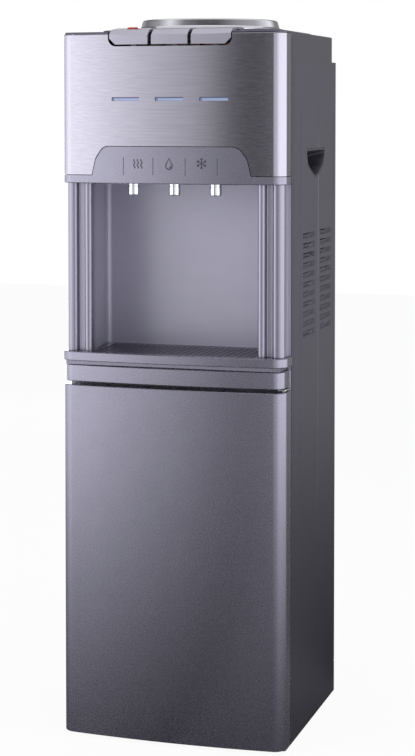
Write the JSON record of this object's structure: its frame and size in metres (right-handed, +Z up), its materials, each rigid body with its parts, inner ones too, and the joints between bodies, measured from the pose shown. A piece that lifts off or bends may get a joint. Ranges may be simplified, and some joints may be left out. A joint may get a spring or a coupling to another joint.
{
  "type": "floor-standing bottled water cooler",
  "caption": "Tall water cooler with a bottle collar on top, push keys over chrome taps, a ribbed alcove with a pull-out drip tray, and a storage cupboard with a hinged door.",
  "frame": {"origin": "on the floor, below the middle of the whole cooler's bounding box", "axes": "+Z up, +X to the right seen from the front, +Y towards the back; the front with the keys and door faces -Y"},
  "size_m": [0.3124, 0.3092, 0.9725],
  "materials": {
    "panel_enamel": "semi-gloss metallic grey enamel",
    "zinc_sheet": "zinc-plated sheet",
    "brushed_front": "brushed stainless sheet look",
    "front_grey": "metallic grey moulding, satin",
    "key_grey": "metallic grey moulding, satin",
    "black_plastic": "fine matt",
    "red_plastic": "gloss",
    "light_plastic": "satin",
    "white_rubber": "soft, matt",
    "black_rubber": "matt",
    "window_light": "translucent pale blue",
    "circuit_board": "green board",
    "bright_chrome": "polished",
    "tap_plastic": "natural",
    "stainless": "fine brushed stainless",
    "foam": "closed-cell foam",
    "copper": "dull copper",
    "black_paint": "black enamel"
  },
  "bodies": {
    "cabinet": {"alcove_liner": "front_grey", "baffle": "light_plastic", "band_heater": "stainless", "base_pan": "zinc_sheet", "cabinet_liner": "light_plastic", "cold_insulation": "foam", "cold_tank": "stainless", "compressor": "black_paint", "compressor_mounts": "black_rubber", "condenser": "black_paint", "cord_gland": "black_plastic", "drain_spout": "black_plastic", "evaporator_coil": "copper", "front_band": "front_grey", "front_panel": "brushed_front", "grip_cups": "black_plastic", "hinge_brackets": "zinc_sheet", "hot_insulation": "foam", "hot_tank": "stainless", "indicator_board": "circuit_board", "indicator_windows": "window_light", "key_axle": "zinc_sheet", "key_bracket": "black_plastic", "panel_screws": "zinc_sheet", "rear_panel": "zinc_sheet", "refrigerant_lines": "copper", "relay_box": "black_plastic", "rubber_feet": "black_rubber", "seat_collar": "bright_chrome", "seat_gasket": "white_rubber", "side_panel_left": "panel_enamel", "side_panel_right": "panel_enamel", "spring_cold": "stainless", "spring_hot": "stainless", "spring_normal": "stainless", "switch_frame": "black_plastic", "tank_shelves": "zinc_sheet", "tap_apron": "front_grey", "tap_bodies": "tap_plastic", "tap_nozzles": "bright_chrome", "top_cover": "front_grey", "water_hoses": "white_rubber"},
    "door": {"door_outer": "front_grey", "door_liner": "light_plastic", "door_gasket": "white_rubber", "hinge_bushes": "light_plastic"},
    "hot_key": {"key_hot": "key_grey"},
    "normal_key": {"key_normal": "key_grey"},
    "cold_key": {"key_cold": "key_grey"},
    "hot_plunger": {"plunger_hot": "light_plastic"},
    "normal_plunger": {"plunger_normal": "light_plastic"},
    "cold_plunger": {"plunger_cold": "light_plastic"},
    "child_lock": {"hot_lock": "red_plastic"},
    "tray": {"drip_tray": "front_grey"},
    "grille": {"drip_grille": "black_plastic"},
    "seat": {"bottle_seat": "light_plastic", "bottle_probe": "light_plastic"},
    "spout_cap": {"drain_cap": "black_plastic"},
    "heating_rocker": {"rocker_heating": "red_plastic"},
    "cooling_rocker": {"rocker_cooling": "black_plastic"}
  },
  "joints": [
    {"name": "door_hinge", "type": "hinge", "parent": "cabinet", "child": "door", "pos_m": [0.148, -0.1246, 0.242], "axis": [0, 0, 1], "range_deg": [0, 110]},
    {"name": "tray_slide", "type": "slide", "parent": "cabinet", "child": "tray", "axis": [0, -1, 0], "range_m": [0, 0.08]},
    {"name": "grille_lift", "type": "slide", "parent": "tray", "child": "grille", "axis": [0, 0, 1], "range_m": [0, 0.06]},
    {"name": "seat_lift", "type": "slide", "parent": "cabinet", "child": "seat", "axis": [0, 0, 1], "range_m": [0, 0.08]},
    {"name": "cap_pull", "type": "slide", "parent": "cabinet", "child": "spout_cap", "axis": [0, 1, 0], "range_m": [0, 0.015]},
    {"name": "heating_rocker_tilt", "type": "hinge", "parent": "cabinet", "child": "heating_rocker", "pos_m": [0.1015, 0.1384, 0.87], "axis": [1, 0, 0], "range_deg": [-16, 0]},
    {"name": "cooling_rocker_tilt", "type": "hinge", "parent": "cabinet", "child": "cooling_rocker", "pos_m": [0.1185, 0.1384, 0.87], "axis": [1, 0, 0], "range_deg": [-16, 0]},
    {"name": "hot_key_press", "type": "hinge", "parent": "cabinet", "child": "hot_key", "pos_m": [-0.057, -0.0956, 0.945], "axis": [1, 0, 0], "range_deg": [0, 2], "stiffness_Nm_per_rad": 4, "springref_deg": -1.15},
    {"name": "hot_plunger_slide", "type": "slide", "parent": "cabinet", "child": "hot_plunger", "axis": [0, 0, 1], "range_m": [-0.0013, 0], "deforming": ["spring_hot"]},
    {"name": "normal_key_press", "type": "hinge", "parent": "cabinet", "child": "normal_key", "pos_m": [0, -0.0956, 0.945], "axis": [1, 0, 0], "range_deg": [0, 2], "stiffness_Nm_per_rad": 4, "springref_deg": -1.15},
    {"name": "normal_plunger_slide", "type": "slide", "parent": "cabinet", "child": "normal_plunger", "axis": [0, 0, 1], "range_m": [-0.0013, 0], "deforming": ["spring_normal"]},
    {"name": "cold_key_press", "type": "hinge", "parent": "cabinet", "child": "cold_key", "pos_m": [0.057, -0.0956, 0.945], "axis": [1, 0, 0], "range_deg": [0, 2], "stiffness_Nm_per_rad": 4, "springref_deg": -1.15},
    {"name": "cold_plunger_slide", "type": "slide", "parent": "cabinet", "child": "cold_plunger", "axis": [0, 0, 1], "range_m": [-0.0013, 0], "deforming": ["spring_cold"]},
    {"name": "child_lock_slide", "type": "slide", "parent": "hot_key", "child": "child_lock", "axis": [1, 0, 0], "range_m": [0, 0.006]}
  ],
  "couplings": [
    {"joint": "hot_plunger_slide", "follows": "hot_key_press", "m_per_rad": -0.033},
    {"joint": "normal_plunger_slide", "follows": "normal_key_press", "m_per_rad": -0.033},
    {"joint": "cold_plunger_slide", "follows": "cold_key_press", "m_per_rad": -0.033}
  ]
}
